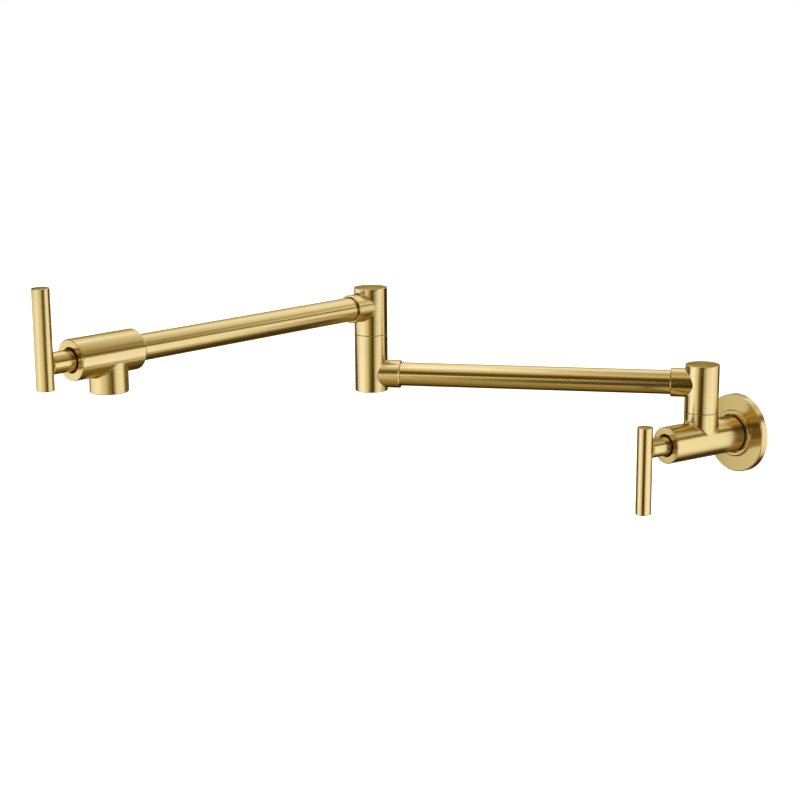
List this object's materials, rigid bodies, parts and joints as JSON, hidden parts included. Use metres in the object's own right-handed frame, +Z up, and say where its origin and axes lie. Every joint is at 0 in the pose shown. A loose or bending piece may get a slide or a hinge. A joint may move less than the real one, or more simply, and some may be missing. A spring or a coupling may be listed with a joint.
{
  "type": "pot filler tap",
  "caption": "Wall mounted pot filler: round wall flange, wall valve with lever bar, two folding tubular arms, and a spout valve with lever bar and downward outlet.",
  "frame": {"origin": "centre of the flange's back face, on the wall and on the axis of the water supply", "axes": "+Y into the wall, so the fitting stands out along -Y; +Z up; +X to the right as seen from the room"},
  "size_m": [0.239, 0.5752, 0.2152],
  "materials": {
    "brushed_gold": "fine brushed satin gold brass",
    "plain_brass": "machined brass, unfinished",
    "steel": "stainless steel set screws",
    "black_rubber": "matt black rubber seals",
    "white_plastic": "white acetal plastic",
    "white_ceramic": "lapped white ceramic"
  },
  "bodies": {
    "root": {"wall_flange": "brushed_gold", "flange_gasket": "black_rubber", "flange_o_ring": "black_rubber", "wall_valve_body": "brushed_gold", "wall_cartridge_barrel": "plain_brass", "wall_cartridge_nut": "plain_brass", "wall_cartridge_seal": "black_rubber", "wall_fixed_disc": "white_ceramic", "wall_stem_o_ring": "black_rubber", "wall_swivel_spigot": "plain_brass", "wall_swivel_o_ring_lower": "black_rubber", "wall_swivel_o_ring_upper": "black_rubber", "wall_swivel_washer": "white_plastic"},
    "wall_handle": {"wall_handle_hub": "brushed_gold", "wall_handle_bar": "brushed_gold", "wall_handle_screw": "steel", "wall_stem": "plain_brass", "wall_turning_disc": "white_ceramic"},
    "lower_arm": {"wall_swivel_housing": "brushed_gold", "wall_swivel_screw": "steel", "lower_tube": "brushed_gold", "elbow_lower_housing": "brushed_gold", "elbow_swivel_spigot": "plain_brass", "elbow_swivel_o_ring_lower": "black_rubber", "elbow_swivel_o_ring_upper": "black_rubber", "elbow_swivel_washer": "white_plastic"},
    "upper_arm": {"elbow_upper_housing": "brushed_gold", "elbow_screw": "steel", "upper_tube": "brushed_gold", "spout_valve_body": "brushed_gold", "spout_cartridge_barrel": "plain_brass", "spout_cartridge_nut": "plain_brass", "spout_cartridge_seal": "black_rubber", "spout_fixed_disc": "white_ceramic", "spout_stem_o_ring": "black_rubber", "aerator_shell": "brushed_gold", "aerator_insert": "white_plastic", "aerator_washer": "black_rubber"},
    "spout_handle": {"spout_handle_hub": "brushed_gold", "spout_handle_bar": "brushed_gold", "spout_handle_screw": "steel", "spout_stem": "plain_brass", "spout_turning_disc": "white_ceramic"}
  },
  "joints": [
    {"name": "wall_swivel", "type": "hinge", "parent": "root", "child": "lower_arm", "pos_m": [0, -0.0446, 0.02365], "axis": [0, 0, 1], "range_deg": [-46.3, 133.7]},
    {"name": "elbow_swivel", "type": "hinge", "parent": "lower_arm", "child": "upper_arm", "pos_m": [-0.19207, -0.24558, 0.08195], "axis": [0, 0, 1], "range_deg": [-238.1, 121.9]},
    {"name": "wall_handle_turn", "type": "hinge", "parent": "root", "child": "wall_handle", "pos_m": [0, -0.1053, 0], "axis": [0, -1, 0], "range_deg": [0, 90]},
    {"name": "spout_handle_turn", "type": "hinge", "parent": "upper_arm", "child": "spout_handle", "pos_m": [-0.10908, -0.5688, 0.10585], "axis": [0.2487, -0.9686, 0], "range_deg": [0, 90]}
  ]
}
